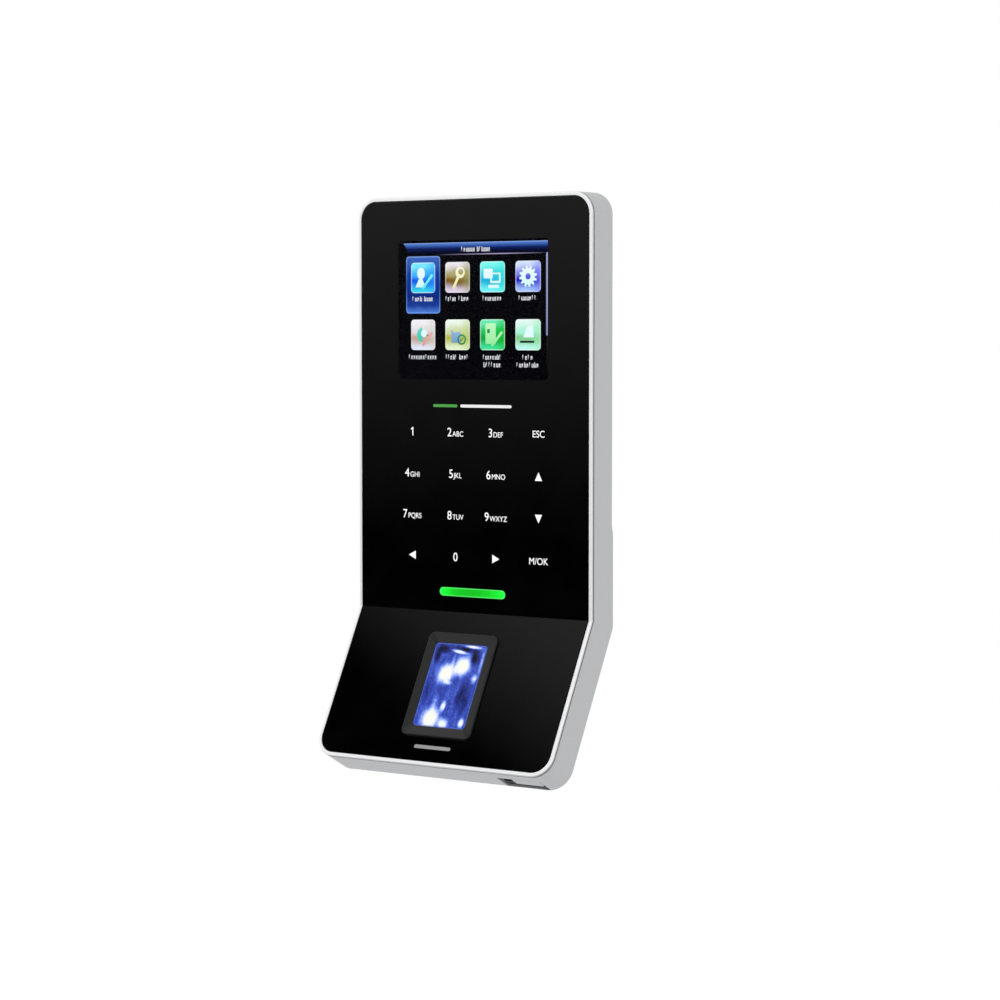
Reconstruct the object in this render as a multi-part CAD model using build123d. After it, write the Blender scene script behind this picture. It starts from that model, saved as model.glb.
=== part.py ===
from build123d import *
import math
import os

# Wall-mounted fingerprint terminal. Millimetres, +Z up, the wall is the plane y = 0, and the
# user stands on the -Y side. The origin is the centre of the four wall screws, on the wall.
#
# The body is a slab bent once across its width. Each half has its own flat frame:
#   UPPER  x across, y up from the bend line, depth measured back from the front plane
#   LOWER  the same for the tilted half, where distances are measured down from the bend line
# Spans are (low, high) pairs. Depth 0 is the front plane of the rim, and depth grows inwards.

# ---- driving dimensions ---------------------------------------------------------------------
WIDTH = 78.0  # overall
UPPER_LENGTH = 114.0  # bend line to the top
LOWER_LENGTH = 44.7  # bend line to the bottom face, along the tilted front
TILT = 28.0  # lean of the lower half towards the user, degrees
FRONT_TO_WALL = 19.4  # front plane of the upper half to the wall
BEND_HEIGHT = -56.0  # height of the bend line above the wall screws' centre
CORNER = 6.0  # corner radius of the outline
RIM = 1.0  # width of the bright rim

# ---- shell and panel ------------------------------------------------------------------------
WALL = 1.6  # side walls of the shell
UPPER_BAND = 9.8  # depth of the shell behind the upper front plane
LOWER_BAND = 10.4  # depth of the shell lower down
STEP_SPAN = (20.3, 22.7)  # the shell thickens between these heights above the bend
SHELL_FRONT = 1.35  # the shell's full wall starts here
SHELL_INNER = 8.3  # inner face of the shell's back wall
RIM_BAND = (-0.5, 0.05)  # depths of the rim's outer band
LIP_FRONT = 0.5  # the shell's thin front lip leaves a shadow groove behind the rim
GROOVE = 0.55  # depth of the groove, from the side
PANEL_FRONT = -0.6  # the black panel stands proud of the rim
PANEL_BACK = 0.95
PANEL_GAP = 0.1  # between the panel and the rim
PANEL_BEVEL = 0.15

# ---- display --------------------------------------------------------------------------------
SCREEN_HEIGHT = 82.9  # centre of the screen above the bend
WINDOW = (49.7, 37.7)
WINDOW_CORNER = 0.8
FIT = 0.1  # gap round a part set in an opening
LCD_SIZE = (60.3, 42.9)
LCD_DEPTH = (1.0, 3.6)

# ---- keypad and status light ----------------------------------------------------------------
KEY_COLUMNS = (-21.0, -7.0, 7.0, 21.0)
KEY_ROWS = (15.3, 26.7, 38.0, 49.3)
KEYPAD_BOARD = ((-33.0, 33.0), (9.6, 60.6), (1.05, 2.05))
LIGHT = (21.9, 2.3)
LIGHT_HEIGHT = 5.65

# ---- fingerprint reader, in the lower half --------------------------------------------------
READER_DOWN = 21.6  # its centre below the bend
READER_FRAME = (22.8, 30.3)
READER_CORNER = 1.8
READER_WINDOW = (17.3, 24.4)
READER_PROUD = -1.3  # depth of the frame's outer edge
READER_DISH = -0.85  # depth of its inner edge: the frame slopes in to the window
GLASS_FRONT = -0.8
READER_BOX = (2.6, 8.0)  # depths of the reader's inner case

# ---- main board -----------------------------------------------------------------------------
BOARD = ((-32.8, 32.8), (6.0, 107.0))
BOARD_FRONT = 5.2
BOARD_BACK = 6.6
BOARD_SCREWS = [(x, y) for x in (-30.0, 30.0) for y in (11.0, 102.0)]
CONNECTORS = {"wall": ((-10.2, 51.0), (10.2, 51.0)), "network": ((0.0, 40.0),)}
CONNECTOR_SIZE = (18.4, 7.2)
CONNECTOR_BACK = 14.6
TAMPER_AT = (14.0, 84.0)
RESET_AT = (-16.0, 64.0)
SPEAKER_AT = (-11.0, 21.5)

# ---- rear housing and wall plate ------------------------------------------------------------
HOUSING = ((-31.0, 31.0), (2.0, 106.0))
HOUSING_WALL = 1.6
HOUSING_FRONT = 10.4
HOUSING_BACK = 19.2
HOUSING_FLOOR = (13.8, 15.4)  # depths of its back wall, which is recessed for the wall plate
HOUSING_SCREWS = [(x, y) for x in (-26.0, 26.0) for y in (16.0, 96.0)]
BEZEL_SCREWS_UP = [(x, y) for x in (-35.2, 35.2) for y in (8.0, 56.0, 104.0)]
BEZEL_SCREWS_DOWN = [(x, 34.0) for x in (-35.2, 35.2)]
BACK_OPENING = ((-21.0, 21.0), (12.0, 100.0))
CABLE_WINDOW = ((-21.0, 21.0), (33.5, 59.0))
PLATE = ((-28.5, 28.5), (4.6, 103.4))
PLATE_THICKNESS = 1.5
WALL_SCREW_SPACING = (40.0, 76.0)
WALL_SCREW_RADIUS = 2.25
HOOKS = (-9.5, 9.5)  # x of the plate's hooks
HOOK_WIDTH = 7.0
LOCK_DEPTH = 14.0  # depth of the locking screw's axis

# ---- service port in the bottom face, in the lower half -------------------------------------
PORT_CUT = ((20.2, 34.0), (3.7, 9.7))  # across, depth
FLAP_ACROSS = (24.5, 32.9)  # the second is the hinge pin
FLAP_DEPTH = (3.8, 6.95)
FLAP_THICKNESS = 1.2
PIN_RADIUS = 0.35
USB_SHELL = ((24.85, 32.35), (4.0, 6.8))
USB_DOWN = (37.0, 43.3)

# ---- frames ---------------------------------------------------------------------------------
BEND = Vector(0, -FRONT_TO_WALL, BEND_HEIGHT)
SIN = math.sin(math.radians(TILT))
COS = math.cos(math.radians(TILT))
HALF_SIN = math.sin(math.radians(TILT / 2))
HALF_COS = math.cos(math.radians(TILT / 2))
UPPER = Plane(origin=BEND, x_dir=(1, 0, 0), z_dir=(0, -1, 0))
LOWER = Plane(origin=BEND, x_dir=(1, 0, 0), z_dir=(0, -COS, SIN))
UPPER_SIDE = Plane(origin=BEND, x_dir=(0, 1, 0), z_dir=(1, 0, 0))
LOWER_SIDE = Plane(origin=BEND, x_dir=(0, COS, -SIN), z_dir=(1, 0, 0))
MITRE = Plane(origin=BEND, x_dir=(1, 0, 0), z_dir=(0, HALF_SIN, HALF_COS))
OVERRUN = 25.0  # how far a half slab runs past the bend before it is mitred


# ---- shape helpers --------------------------------------------------------------------------
def span(centre, size):
    """The (low, high) pair of a length about its centre."""
    return (centre - size / 2, centre + size / 2)


def down(distances):
    """Distances below the bend as a span of the lower frame's y."""
    return (-distances[1], -distances[0])


def plate(frame, across, along, depth, corner=0.0):
    """A flat block given by its three spans, with its four corners rounded."""
    width = across[1] - across[0]
    length = along[1] - along[0]
    outline = RectangleRounded(width, length, corner) if corner else Rectangle(width, length)
    centre = Pos(sum(across) / 2, sum(along) / 2, -depth[0])
    return extrude(frame * centre * outline, amount=depth[0] - depth[1])


def rod(frame, x, y, depth, radius):
    """A round rod that runs along a half's depth."""
    return extrude(frame * Pos(x, y, -depth[0]) * Circle(radius), amount=depth[0] - depth[1])


def ends(frame, solid):
    """The solid's backmost and frontmost faces."""
    faces = solid.faces().sort_by(Axis(frame.origin, frame.z_dir))
    return faces[0], faces[-1]


def half_slab(frame, keep, reach, inset, depth, bevel, front_round, back_round):
    """One half of the bent slab, cut on the mitre."""
    side = 1 if keep is Keep.TOP else -1
    near_and_far = sorted((-side * OVERRUN, side * (reach - inset)))
    half = plate(frame, span(0, WIDTH - 2 * inset), near_and_far, depth, max(CORNER - inset, 1.0))
    if bevel:
        half = chamfer(ends(frame, half)[1].edges(), bevel)
    if front_round:
        half = fillet(ends(frame, half)[1].edges(), front_round)
    if back_round:
        half = fillet(ends(frame, half)[0].edges(), back_round)
    return split(half, bisect_by=MITRE, keep=keep)


def bent(inset, depth, bevel=0.0, front_round=0.0, back_round=0.0):
    """The whole bent slab, set in from the outline all round."""
    edges = (bevel, front_round, back_round)
    top = half_slab(UPPER, Keep.TOP, UPPER_LENGTH, inset, depth, *edges)
    bottom = half_slab(LOWER, Keep.BOTTOM, LOWER_LENGTH, inset, depth, *edges)
    return top + bottom


def bent_ring(outer, inner, depth):
    """A bent frame between two insets."""
    return bent(outer, depth) - bent(inner, (depth[0] - 1, depth[1] + 1))


def group(pieces):
    """Separate solids that share one node."""
    return Compound([solid for piece in pieces for solid in piece.solids()])


def seat(frame, x, y, depth, backwards):
    """A place with local z out of the back or out of the front."""
    origin = frame.from_local_coords((x, y, -depth))
    return Plane(origin=origin, x_dir=(1, 0, 0), z_dir=frame.z_dir * (-1 if backwards else 1))


def screw(place, head, shank):
    """A cross-head screw. Head and shank are (radius, length), and z = 0 is under the head."""
    dome = Pos(0, 0, head[1] / 2) * Cylinder(head[0], head[1])
    dome = fillet(dome.edges().sort_by(Axis.Z)[-1], 0.4 * head[1])
    body = dome + Pos(0, 0, -shank[1] / 2) * Cylinder(shank[0], shank[1])
    for angle in (0, 90):
        body -= Pos(0, 0, head[1]) * Rot(0, 0, angle) * Box(1.2 * head[0], 0.25 * head[0], head[1])
    return place.location * body


def ribbon(points, width, thickness, x=0.0):
    """A flat cable: a polyline seen from the side, given thickness and width."""
    strip = trace(Polyline(*points), line_width=thickness)
    return extrude(Plane(origin=(x, 0, 0), x_dir=(0, 1, 0), z_dir=(1, 0, 0)) * strip, width / 2, both=True)


def side_point(frame, along, depth):
    """A point in the side view, (y, z), of a half's frame."""
    point = frame.from_local_coords((depth, along, 0))
    return (point.Y, point.Z)


# ---- casing ---------------------------------------------------------------------------------
def screw_posts(radius, depth):
    """Posts of the bright rim that its screws bite into."""
    posts = [rod(UPPER, x, y, depth, radius) for x, y in BEZEL_SCREWS_UP]
    return posts + [rod(LOWER, x, -y, depth, radius) for x, y in BEZEL_SCREWS_DOWN]


def front_bezel():
    ledge_inset = 4.0
    foot_back = 2.4
    outer_band = bent(0, RIM_BAND, front_round=0.4) - bent(RIM, (RIM_BAND[0] - 1, RIM_BAND[1] + 1))
    neck = bent_ring(GROOVE, RIM, (RIM_BAND[1], SHELL_FRONT))
    ledge = bent_ring(GROOVE, ledge_inset, (PANEL_BACK, SHELL_FRONT))
    foot = bent_ring(WALL + FIT, ledge_inset, (SHELL_FRONT, foot_back))
    bezel = outer_band + neck + ledge + foot
    for post in screw_posts(1.8, (foot_back - 0.2, SHELL_INNER)):
        bezel += post
    for hole in screw_posts(0.95, (foot_back + 1.0, SHELL_INNER + 1)):
        bezel -= hole
    return bezel


def front_panel():
    panel = bent(RIM + PANEL_GAP, (PANEL_FRONT, PANEL_BACK), bevel=PANEL_BEVEL)
    through = (PANEL_FRONT - 1, PANEL_BACK + 1)
    screen = [size + 2 * FIT for size in WINDOW]
    panel -= plate(UPPER, span(0, screen[0]), span(SCREEN_HEIGHT, screen[1]), through, WINDOW_CORNER)
    light = [size + FIT for size in LIGHT]
    panel -= plate(UPPER, span(0, light[0]), span(LIGHT_HEIGHT, light[1]), through, light[1] / 2.1)
    neck = [size - 1.4 + 2 * FIT for size in READER_FRAME]
    panel -= plate(LOWER, span(0, neck[0]), span(-READER_DOWN, neck[1]), through, READER_CORNER - 0.4)
    return panel


def display_window():
    depth = (PANEL_FRONT, LCD_DEPTH[0] - FIT)
    return plate(UPPER, span(0, WINDOW[0]), span(SCREEN_HEIGHT, WINDOW[1]), depth, WINDOW_CORNER)


def step_plane():
    """The slope on the shell's back where it thickens towards the bottom."""
    run = STEP_SPAN[1] - STEP_SPAN[0]
    rise = LOWER_BAND - UPPER_BAND
    foot = UPPER.from_local_coords((0, STEP_SPAN[0], -LOWER_BAND))
    return Plane(origin=foot, x_dir=(1, 0, 0), z_dir=(0, run, rise))


def board_posts(radius, depth):
    return [rod(UPPER, x, y, depth, radius) for x, y in BOARD_SCREWS]


def port_board_post(radius, depth):
    return rod(LOWER, 18.5, -31.5, depth, radius)


def main_shell():
    back_rounding = 0.8
    slim = bent(0, (SHELL_FRONT, UPPER_BAND), back_round=back_rounding)
    thick = bent(0, (SHELL_FRONT, LOWER_BAND), back_round=back_rounding)
    shell = slim + split(thick, bisect_by=step_plane(), keep=Keep.BOTTOM)
    lip = (LIP_FRONT, SHELL_FRONT + 0.5)
    shell += bent(0, lip, front_round=0.2) - bent(GROOVE - FIT, (lip[0] - 1, lip[1] + 1))
    shell -= bent(WALL, (SHELL_FRONT - 1, SHELL_INNER))
    shell -= plate(UPPER, *BACK_OPENING, (SHELL_INNER - 1, LOWER_BAND + 1), 3.0)
    seat_across = span(0, HOUSING[0][1] * 2 + 0.4)
    seat_along = (HOUSING[1][0] - 0.2, STEP_SPAN[1] + 1)
    shell -= plate(UPPER, seat_across, seat_along, (UPPER_BAND, LOWER_BAND + 1), 0.5)
    for x, y in HOUSING_SCREWS:
        shell += rod(UPPER, x, y, (BOARD_BACK + 0.2, SHELL_INNER + 0.2), 2.6)
        shell -= rod(UPPER, x, y, (BOARD_BACK + 0.6, LOWER_BAND + 1), 1.25)
    for post in board_posts(2.2, (BOARD_BACK, SHELL_INNER + 0.2)):
        shell += post
    for hole in board_posts(0.95, (BOARD_BACK - 1, SHELL_INNER + 0.4)):
        shell -= hole
    shell += port_board_post(2.0, (7.6, SHELL_INNER + 0.2))
    shell -= port_board_post(0.95, (7.0, SHELL_INNER + 1.0))
    for hole in screw_posts(1.05, (SHELL_INNER - 1, LOWER_BAND + 1)):
        shell -= hole
    for x, y in BEZEL_SCREWS_UP:
        band = UPPER_BAND if y > STEP_SPAN[1] else LOWER_BAND
        shell -= rod(UPPER, x, y, (band - 1.0, band + 1), 2.0)
    for x, y in BEZEL_SCREWS_DOWN:
        shell -= rod(LOWER, x, -y, (LOWER_BAND - 1.0, LOWER_BAND + 1), 2.0)
    bottom_wall = (LOWER_LENGTH - WALL, LOWER_LENGTH + 1)
    port = plate(LOWER, PORT_CUT[0], down(bottom_wall), PORT_CUT[1])
    shell -= fillet(port.edges().filter_by(Axis((0, 0, 0), LOWER.y_dir)), 0.3)
    shell -= hinge_rod(PIN_RADIUS + 0.01, (2.9, PORT_CUT[1][0] + 0.5))
    return shell


def rear_housing():
    across, along = HOUSING
    housing = plate(UPPER, across, along, (HOUSING_FRONT, HOUSING_BACK), 4.0)
    housing = chamfer(ends(UPPER, housing)[0].edges(), 0.8)
    room = [(low + HOUSING_WALL, high - HOUSING_WALL) for low, high in (across, along)]
    housing -= plate(UPPER, *room, (HOUSING_FRONT - 1, HOUSING_FLOOR[0]), 2.4)
    recess = [(low + 2.0, high - 2.0) for low, high in (across, along)]
    housing -= plate(UPPER, *recess, (HOUSING_FLOOR[1], HOUSING_BACK + 1), 3.0)
    for x in (-25.0, 25.0):
        for y in (28.0, 84.0):
            housing += rod(UPPER, x, y, (HOUSING_FLOOR[1] - 0.5, plate_front()), 2.6)
    for x, y in HOUSING_SCREWS:
        housing += rod(UPPER, x, y, (HOUSING_FRONT, HOUSING_FLOOR[0] + 0.5), 3.8)
        housing -= rod(UPPER, x, y, (12.2, HOUSING_FLOOR[1] + 1), 2.5)
        housing -= rod(UPPER, x, y, (HOUSING_FRONT - 1, 13.0), 1.3)
    floor_cut = (HOUSING_FLOOR[0] - 0.5, HOUSING_FLOOR[1] + 0.5)
    housing -= plate(UPPER, *CABLE_WINDOW, floor_cut, 2.0)
    for x in HOOKS:
        housing -= plate(UPPER, span(x, HOOK_WIDTH + 1.2), (86.0, 94.0), floor_cut, 0.6)
    housing -= plate(UPPER, (-6.2, 6.2), (along[0] + 1.2, 10.2), floor_cut)
    housing -= rod(UPPER, *TAMPER_AT, floor_cut, 1.6)
    housing -= rod(UPPER, *RESET_AT, floor_cut, 2.0)
    for row in range(5):
        slot_height = SPEAKER_AT[1] + 2.6 * (row - 2)
        housing -= plate(UPPER, span(SPEAKER_AT[0], 9.0), span(slot_height, 1.2), floor_cut, 0.55)
    bottom_wall = Pos(0, LOCK_DEPTH - FRONT_TO_WALL, BEND_HEIGHT + along[0] + 1)
    housing -= bottom_wall * Cylinder(1.7, 4.5)
    return housing


def rear_seal():
    across, along = HOUSING
    seal = plate(UPPER, across, along, (UPPER_BAND, HOUSING_FRONT), 4.0)
    room = [(low + HOUSING_WALL, high - HOUSING_WALL) for low, high in (across, along)]
    seal -= plate(UPPER, *room, (UPPER_BAND - 1, HOUSING_FRONT + 1), 2.4)
    for x, y in HOUSING_SCREWS:
        seal -= rod(UPPER, x, y, (UPPER_BAND - 1, HOUSING_FRONT + 1), 3.6)
    return seal


def housing_screws():
    places = [seat(UPPER, x, y, 12.2, True) for x, y in HOUSING_SCREWS]
    return group([screw(place, (2.3, 1.5), (1.2, 4.8)) for place in places])


def bezel_screws():
    places = []
    for x, y in BEZEL_SCREWS_UP:
        band = UPPER_BAND if y > STEP_SPAN[1] else LOWER_BAND
        places.append(seat(UPPER, x, y, band - 1.0, True))
    for x, y in BEZEL_SCREWS_DOWN:
        places.append(seat(LOWER, x, -y, LOWER_BAND - 1.0, True))
    return group([screw(place, (1.8, 0.9), (0.9, 4.6)) for place in places])


# ---- wall plate -----------------------------------------------------------------------------
def plate_front():
    return FRONT_TO_WALL - PLATE_THICKNESS


def wall_plate():
    front = plate_front()
    through = (front - 1, FRONT_TO_WALL + 1)
    sheet = plate(UPPER, *PLATE, (front, FRONT_TO_WALL), 3.0)
    sheet -= plate(UPPER, *CABLE_WINDOW, through, 3.0)
    for x in span(0, WALL_SCREW_SPACING[0]):
        for y in span(-BEND_HEIGHT, WALL_SCREW_SPACING[1]):
            sheet -= rod(UPPER, x, y, through, WALL_SCREW_RADIUS)
    for x in HOOKS:
        hook_across = span(x, HOOK_WIDTH)
        sheet -= plate(UPPER, span(x, HOOK_WIDTH + 1), (83.0, 92.3), through)
        sheet += plate(UPPER, hook_across, (92.3, 93.7), (12.2, front + 0.5))
        sheet += plate(UPPER, hook_across, (92.3, 97.4), (12.2, 13.5))
    sheet -= plate(UPPER, (-5.5, 5.5), (8.0, 14.0), through)
    sheet += plate(UPPER, (-5.0, 5.0), (6.5, 8.0), (11.8, front + 0.5))
    sheet -= Pos(0, LOCK_DEPTH - FRONT_TO_WALL, BEND_HEIGHT + 7) * Cylinder(1.52, 4)
    return sheet


def security_screw():
    """Locks the terminal to the plate's lower tab, driven up from below."""
    under_wall = Vector(0, LOCK_DEPTH - FRONT_TO_WALL, BEND_HEIGHT + HOUSING[1][0])
    place = Plane(origin=under_wall, x_dir=(1, 0, 0), z_dir=(0, 0, -1))
    return screw(place, (2.6, 1.8), (1.5, 7.0))


# ---- display --------------------------------------------------------------------------------
def lcd_block(margin, depth, corner=0.0):
    width, height = LCD_SIZE
    return plate(UPPER, span(0, width - 2 * margin), span(SCREEN_HEIGHT, height - 2 * margin), depth, corner)


def lcd_frame():
    sheet = 0.25
    tray = lcd_block(0, LCD_DEPTH, 0.8) - lcd_block(sheet, (LCD_DEPTH[0] + sheet, LCD_DEPTH[1] + 1), 0.6)
    return tray - lcd_block(2.0, (LCD_DEPTH[0] - 1, LCD_DEPTH[0] + 1))


def lcd_panel():
    """The glass cell, with its front sheet standing in the frame's opening."""
    return lcd_block(0.4, (1.3, 2.4)) + lcd_block(2.1, (LCD_DEPTH[0], 1.3))


def lcd_backlight():
    return lcd_block(0.4, (2.45, 3.55), 0.4)


def lcd_ribbon():
    bottom = SCREEN_HEIGHT - LCD_SIZE[1] / 2
    path = [(bottom - 0.1, 3.0), (bottom - 1.8, 3.0), (bottom - 3.6, 4.6), (bottom - 4.9, 4.6)]
    return ribbon([side_point(UPPER_SIDE, up, depth) for up, depth in path], 16.0, 0.2)


# ---- keypad and status light ----------------------------------------------------------------
def keypad_board():
    return plate(UPPER, *KEYPAD_BOARD, 1.0)


def key_leds():
    back = KEYPAD_BOARD[2][1]
    depth = (back, back + 0.6)
    return group([plate(UPPER, span(x, 1.6), span(y, 0.8), depth) for x in KEY_COLUMNS for y in KEY_ROWS])


def reader_coil():
    """Four flat copper turns round the back of the keypad board, for reading cards."""
    across, along, depth = KEYPAD_BOARD
    track, pitch, first = 0.5, 0.9, 0.8
    turns = []
    for turn in range(4):
        inset = first + turn * pitch
        outer = [(low + inset, high - inset) for low, high in (across, along)]
        inner = [(low + inset + track, high - inset - track) for low, high in (across, along)]
        loop = plate(UPPER, *outer, (depth[1], depth[1] + 0.1), 1.6)
        turns.append(loop - plate(UPPER, *inner, (depth[1] - 1, depth[1] + 1), 1.1))
    return group(turns)


def status_light_guide():
    across, along = span(0, LIGHT[0]), span(LIGHT_HEIGHT, LIGHT[1])
    guide = plate(UPPER, across, along, (PANEL_FRONT + 0.05, 2.1), LIGHT[1] / 2.1)
    flange = plate(UPPER, span(0, LIGHT[0] + 2), span(LIGHT_HEIGHT, LIGHT[1] + 1.6), (PANEL_BACK, 1.6), 1.2)
    return guide + flange


def status_leds():
    board = plate(UPPER, span(0, 28.0), span(LIGHT_HEIGHT, 5.0), (3.0, 3.8), 0.5)
    lamps = [plate(UPPER, span(x, 2.0), span(LIGHT_HEIGHT, 1.4), (2.3, 3.0)) for x in (-7.5, 0.0, 7.5)]
    for lamp in lamps:
        board += lamp
    return board


# ---- main board and what it carries ---------------------------------------------------------
def on_board(x, y, size, height, corner=0.0):
    """A block standing on the back of the main board."""
    return plate(UPPER, span(x, size[0]), span(y, size[1]), (BOARD_BACK, BOARD_BACK + height), corner)


def main_board():
    board = plate(UPPER, *BOARD, (BOARD_FRONT, BOARD_BACK), 1.5)
    for x, y in BOARD_SCREWS:
        board -= rod(UPPER, x, y, (BOARD_FRONT - 1, BOARD_BACK + 1), 1.1)
    socket = plate(UPPER, span(0, 18.0), span(54.8, 3.2), (BOARD_FRONT - 0.9, BOARD_FRONT))
    return board + socket


def board_screws():
    places = [seat(UPPER, x, y, BOARD_FRONT, False) for x, y in BOARD_SCREWS]
    places.append(seat(LOWER, 18.5, -31.5, 6.8, False))
    lengths = [2.8] * len(BOARD_SCREWS) + [2.2]
    return group([screw(place, (1.8, 1.0), (0.9, length)) for place, length in zip(places, lengths)])


def chip(x, y, size, height, pin_pitch=1.0):
    """A leaded chip: a low body with a comb of leads down two sides."""
    body = on_board(x, y, size, height, 0.3)
    count = int((size[1] - 1) / pin_pitch)
    for side in (-1, 1):
        lead_x = x + side * (size[0] / 2 + 0.4)
        for index in range(count):
            lead_y = y + (index - (count - 1) / 2) * pin_pitch
            body += on_board(lead_x, lead_y, (0.9, 0.4), 0.3)
    return body


def processor_chips():
    return group([
        on_board(-6.0, 76.0, (14.0, 14.0), 1.3, 0.4),
        chip(9.0, 70.0, (8.0, 11.0), 1.0),
        chip(6.5, 94.0, (5.0, 6.0), 1.2),
        chip(-11.0, 21.5, (5.0, 8.0), 1.2),
        on_board(25.0, 70.0, (7.0, 7.0), 1.1, 0.3),
        on_board(-25.5, 75.0, (8.0, 8.0), 1.1, 0.3),
    ])


def board_parts():
    """Storage coils, electrolytic cans and rows of small ceramic parts."""
    cans = [rod(UPPER, 17.4, y, (BOARD_BACK, BOARD_BACK + 5.4), 2.5) for y in (64.5, 71.0)]
    coils = [on_board(x, 31.0, (5.2, 5.2), 1.5, 1.0) for x in (-26.5, 26.5)]
    rows = [on_board(x, y, (1.6, 0.8), 0.7) for x in (-25.0, 25.0) for y in range(44, 60, 2)]
    return group(cans + coils + rows)


def crystal():
    return on_board(4.2, 84.0, (4.0, 10.0), 1.6, 1.9)


def relay():
    box = on_board(11.0, 21.5, (15.0, 13.0), 5.8)
    return fillet(ends(UPPER, box)[0].edges(), 0.5)


def cell_holder():
    x, y = -12.0, 91.6
    ring = rod(UPPER, x, y, (BOARD_BACK, BOARD_BACK + 2.6), 7.2)
    ring -= rod(UPPER, x, y, (BOARD_BACK + 0.5, BOARD_BACK + 4), 6.35)
    return ring - plate(UPPER, span(x, 6.0), (y, y + 10), (BOARD_BACK + 0.5, BOARD_BACK + 4))


def clock_cell():
    cell = rod(UPPER, -12.0, 91.6, (BOARD_BACK + 0.5, BOARD_BACK + 2.5), 6.25)
    return fillet(ends(UPPER, cell)[0].edges(), 0.3)


def connector(x, y):
    """An open-topped header that faces the wall, with a keyway in one long side."""
    width, height = CONNECTOR_SIZE
    body = on_board(x, y, CONNECTOR_SIZE, CONNECTOR_BACK - BOARD_BACK, 0.4)
    mouth = (BOARD_BACK + 1.5, CONNECTOR_BACK + 1)
    body -= plate(UPPER, span(x, width - 1.6), span(y, height - 1.6), mouth, 0.2)
    return body - plate(UPPER, span(x, 4.0), span(y + height / 2, 2.0), (BOARD_BACK + 4, CONNECTOR_BACK + 1))


def wall_connectors():
    return group([connector(x, y) for x, y in CONNECTORS["wall"]])


def network_connector():
    return group([connector(x, y) for x, y in CONNECTORS["network"]])


def connector_pins():
    pins = []
    depth = (BOARD_BACK + 1.5, CONNECTOR_BACK - 1.4)
    for x, y in CONNECTORS["wall"] + CONNECTORS["network"]:
        for index in range(6):
            pin_x = x + (index - 2.5) * 2.5
            pins.append(plate(UPPER, span(pin_x, 0.64), span(y, 0.64), depth))
    return group(pins)


def speaker():
    x, y = SPEAKER_AT
    cup = rod(UPPER, x, y, (10.2, HOUSING_FLOOR[0]), 7.5)
    cup = fillet(ends(UPPER, cup)[1].edges(), 0.5)
    return cup - rod(UPPER, x, y, (HOUSING_FLOOR[0] - 0.6, HOUSING_FLOOR[0] + 1), 6.4)


# ---- spring switches ------------------------------------------------------------------------
TAMPER_CAVITY = (7.2, 10.2)
TAMPER_FLANGE = (9.0, 9.8)
RESET_CAVITY = (7.4, 9.6)
RESET_FLANGE = (8.9, 9.4)


def tamper_switch():
    body = on_board(*TAMPER_AT, (6.5, 6.5), 4.4, 0.4)
    body -= rod(UPPER, *TAMPER_AT, TAMPER_CAVITY, 2.3)
    return body - rod(UPPER, *TAMPER_AT, (TAMPER_CAVITY[1] - 1, 12.0), 1.35)


def tamper_plunger():
    stem = rod(UPPER, *TAMPER_AT, (TAMPER_FLANGE[0], plate_front() - 0.03), 1.2)
    stem = fillet(ends(UPPER, stem)[0].edges(), 0.5)
    return stem + rod(UPPER, *TAMPER_AT, TAMPER_FLANGE, 2.0)


def tamper_spring():
    wire, radius, turns = 0.17, 1.6, 3
    height = TAMPER_FLANGE[0] - TAMPER_CAVITY[0] - 2 * wire - 0.04
    helix = Helix(pitch=height / turns, height=height, radius=radius)
    coil = sweep(Plane(origin=helix @ 0, z_dir=helix % 0) * Circle(wire), path=helix)
    x, y = TAMPER_AT
    return seat(UPPER, x, y, TAMPER_CAVITY[0] + wire + 0.02, True).location * coil


def reset_switch():
    body = on_board(*RESET_AT, (6.0, 6.0), 3.5, 0.3)
    body -= rod(UPPER, *RESET_AT, RESET_CAVITY, 2.5)
    return body - rod(UPPER, *RESET_AT, (RESET_CAVITY[1] - 1, 11.0), 1.85)


def reset_button():
    stem = rod(UPPER, *RESET_AT, (RESET_FLANGE[0], HOUSING_FLOOR[1] - 0.2), 1.7)
    stem = fillet(ends(UPPER, stem)[0].edges(), 0.3)
    return stem + rod(UPPER, *RESET_AT, RESET_FLANGE, 2.3)


def reset_spring():
    """The snap dome under the button: a shallow cap of thin spring steel."""
    base, rise, sheet = 2.3, RESET_FLANGE[0] - RESET_CAVITY[0] - 0.1, 0.15
    ball = (base**2 + rise**2) / (2 * rise)
    cap = Sphere(ball) - Sphere(ball - sheet)
    cap = split(cap, bisect_by=Plane.XY.offset(ball - rise), keep=Keep.TOP)
    x, y = RESET_AT
    return seat(UPPER, x, y, RESET_CAVITY[0] + 0.02, True).location * Pos(0, 0, rise - ball) * cap


# ---- fingerprint reader ---------------------------------------------------------------------
def reader_plate(size, depth, corner=0.0):
    """A block centred on the reader's window."""
    return plate(LOWER, span(0, size[0]), span(-READER_DOWN, size[1]), depth, corner)


def sensor_bezel():
    def outline(size, depth, corner):
        return LOWER * Pos(0, -READER_DOWN, -depth) * RectangleRounded(size[0], size[1], corner)

    raised = reader_plate(READER_FRAME, (READER_PROUD, PANEL_FRONT), READER_CORNER)
    raised = fillet(ends(LOWER, raised)[1].edges(), 0.3)
    crest_size = [size - 0.8 for size in READER_FRAME]
    crest = outline(crest_size, READER_PROUD, READER_CORNER - 0.4)
    raised -= loft([crest, outline(READER_WINDOW, READER_DISH, 1.0)])
    neck_size = [size - 1.4 for size in READER_FRAME]
    bezel = raised + reader_plate(neck_size, (PANEL_FRONT - 0.1, READER_BOX[0]), READER_CORNER - 0.5)
    bezel -= reader_plate(READER_WINDOW, (READER_PROUD - 1, READER_BOX[0] + 1), 1.0)
    return bezel


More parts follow.
